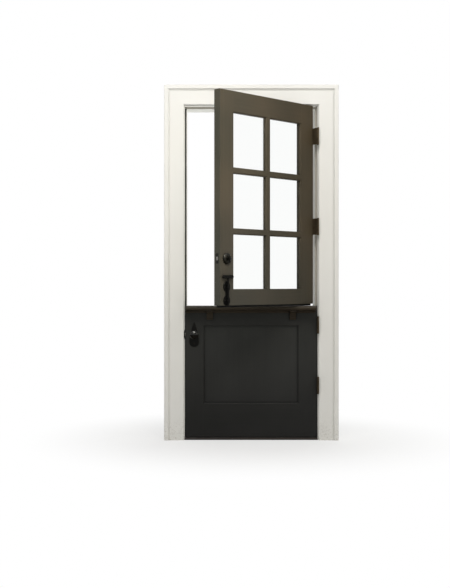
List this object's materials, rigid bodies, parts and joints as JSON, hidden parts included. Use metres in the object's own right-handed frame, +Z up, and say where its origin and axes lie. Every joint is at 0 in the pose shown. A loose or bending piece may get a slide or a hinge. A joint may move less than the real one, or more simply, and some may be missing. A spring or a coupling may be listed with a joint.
{
  "type": "dutch stable door",
  "caption": "Inward-swinging stable door in its cased frame: a glazed upper leaf and a panelled lower leaf with a shelf, each swinging on its own wide-throw hinges.",
  "frame": {"origin": "middle of the sill's underside, at the middle of the jambs' depth", "axes": "+X towards the hinges, +Y away from the room to the outside, +Z up"},
  "size_m": [1.071, 0.7724, 2.184],
  "materials": {
    "trim_white": "painted satin white",
    "jamb_white": "painted satin white",
    "sill_bronze": "dark oiled hardwood",
    "seal_grey": "matt grey",
    "seal_black": "matt black",
    "hinge_bronze": "oil-rubbed bronze finish",
    "strike_bronze": "oil-rubbed bronze finish",
    "leaf_paint": "painted dark olive brown, satin",
    "lower_paint": "painted near-black green, satin",
    "clear_glass": "clear",
    "lock_bronze": "oil-rubbed bronze",
    "black_iron": "black forged iron",
    "bolt_steel": "satin",
    "spindle_steel": "plain"
  },
  "bodies": {
    "frame": {"casing_latch": "trim_white", "casing_hinge": "trim_white", "casing_head": "trim_white", "backband_latch": "trim_white", "backband_hinge": "trim_white", "backband_head": "trim_white", "latch_jamb": "jamb_white", "hinge_jamb": "jamb_white", "head_jamb": "jamb_white", "sill": "sill_bronze", "weatherstrip_latch": "seal_grey", "weatherstrip_hinge": "seal_grey", "weatherstrip_head": "seal_grey", "hinge_1_jamb_plate": "hinge_bronze", "hinge_2_jamb_plate": "hinge_bronze", "hinge_3_jamb_plate": "hinge_bronze", "hinge_4_jamb_plate": "hinge_bronze", "hinge_pins": "hinge_bronze", "deadbolt_strike": "strike_bronze", "latch_strike": "strike_bronze"},
    "upper_leaf": {"upper_lock_stile": "leaf_paint", "upper_hinge_stile": "leaf_paint", "upper_top_rail": "leaf_paint", "upper_bottom_rail": "leaf_paint", "upright_muntin": "leaf_paint", "lower_cross_muntin": "leaf_paint", "upper_cross_muntin": "leaf_paint", "glazing_beads": "leaf_paint", "glass_panes": "clear_glass", "meeting_seal": "seal_black", "hinge_1_door_plate": "hinge_bronze", "hinge_2_door_plate": "hinge_bronze", "deadbolt_case": "lock_bronze", "deadbolt_rosette": "lock_bronze", "deadbolt_cylinder": "lock_bronze", "slide_bolt_plate": "black_iron", "slide_bolt_staples": "black_iron"},
    "deadbolt_thumbturn": {"deadbolt_thumbturn": "lock_bronze"},
    "deadbolt_bolt": {"deadbolt_bolt": "bolt_steel"},
    "slide_bolt_rod": {"slide_bolt_rod": "black_iron"},
    "lower_leaf": {"lower_lock_stile": "lower_paint", "lower_hinge_stile": "lower_paint", "lower_top_rail": "lower_paint", "lower_bottom_rail": "lower_paint", "lower_panel": "lower_paint", "shelf_moulding": "lower_paint", "shelf_bracket_latch": "lower_paint", "shelf_bracket_hinge": "lower_paint", "shelf": "lower_paint", "bottom_sweep": "seal_black", "bolt_keeper": "black_iron", "hinge_3_door_plate": "hinge_bronze", "hinge_4_door_plate": "hinge_bronze", "inside_escutcheon": "lock_bronze", "outside_escutcheon": "lock_bronze", "latch_case": "lock_bronze"},
    "knobs": {"inside_knob": "lock_bronze", "outside_knob": "lock_bronze", "knob_spindle": "spindle_steel"},
    "latch_bolt": {"latch_bolt": "bolt_steel"}
  },
  "joints": [
    {"name": "upper_leaf_swing", "type": "hinge", "parent": "frame", "child": "upper_leaf", "pos_m": [0.408, -0.1235, 1.866], "axis": [0, 0, 1], "range_deg": [-44.4, 130.6]},
    {"name": "lower_leaf_swing", "type": "hinge", "parent": "frame", "child": "lower_leaf", "pos_m": [0.408, -0.1235, 0.709], "axis": [0, 0, 1], "range_deg": [0, 110]},
    {"name": "deadbolt_throw", "type": "slide", "parent": "upper_leaf", "child": "deadbolt_bolt", "axis": [-0.7145, -0.6997, 0], "range_m": [0, 0.0254]},
    {"name": "thumbturn_turn", "type": "hinge", "parent": "upper_leaf", "child": "deadbolt_thumbturn", "pos_m": [-0.17836, -0.60883, 1.103], "axis": [0.6997, -0.7145, 0], "range_deg": [0, 90]},
    {"name": "slide_bolt_drop", "type": "slide", "parent": "upper_leaf", "child": "slide_bolt_rod", "axis": [0, 0, 1], "range_m": [-0.028, 0]},
    {"name": "knob_turn", "type": "hinge", "parent": "lower_leaf", "child": "knobs", "pos_m": [-0.3515, -0.06, 0.649], "axis": [0, 1, 0], "range_deg": [0, 60], "stiffness_Nm_per_rad": 0.4, "springref_deg": -17.19},
    {"name": "latch_draw", "type": "slide", "parent": "lower_leaf", "child": "latch_bolt", "axis": [1, 0, 0], "range_m": [0, 0.012]}
  ],
  "couplings": [
    {"joint": "thumbturn_turn", "follows": "deadbolt_throw", "rad_per_m": 61.84},
    {"joint": "latch_draw", "follows": "knob_turn", "m_per_rad": 0.01145}
  ]
}
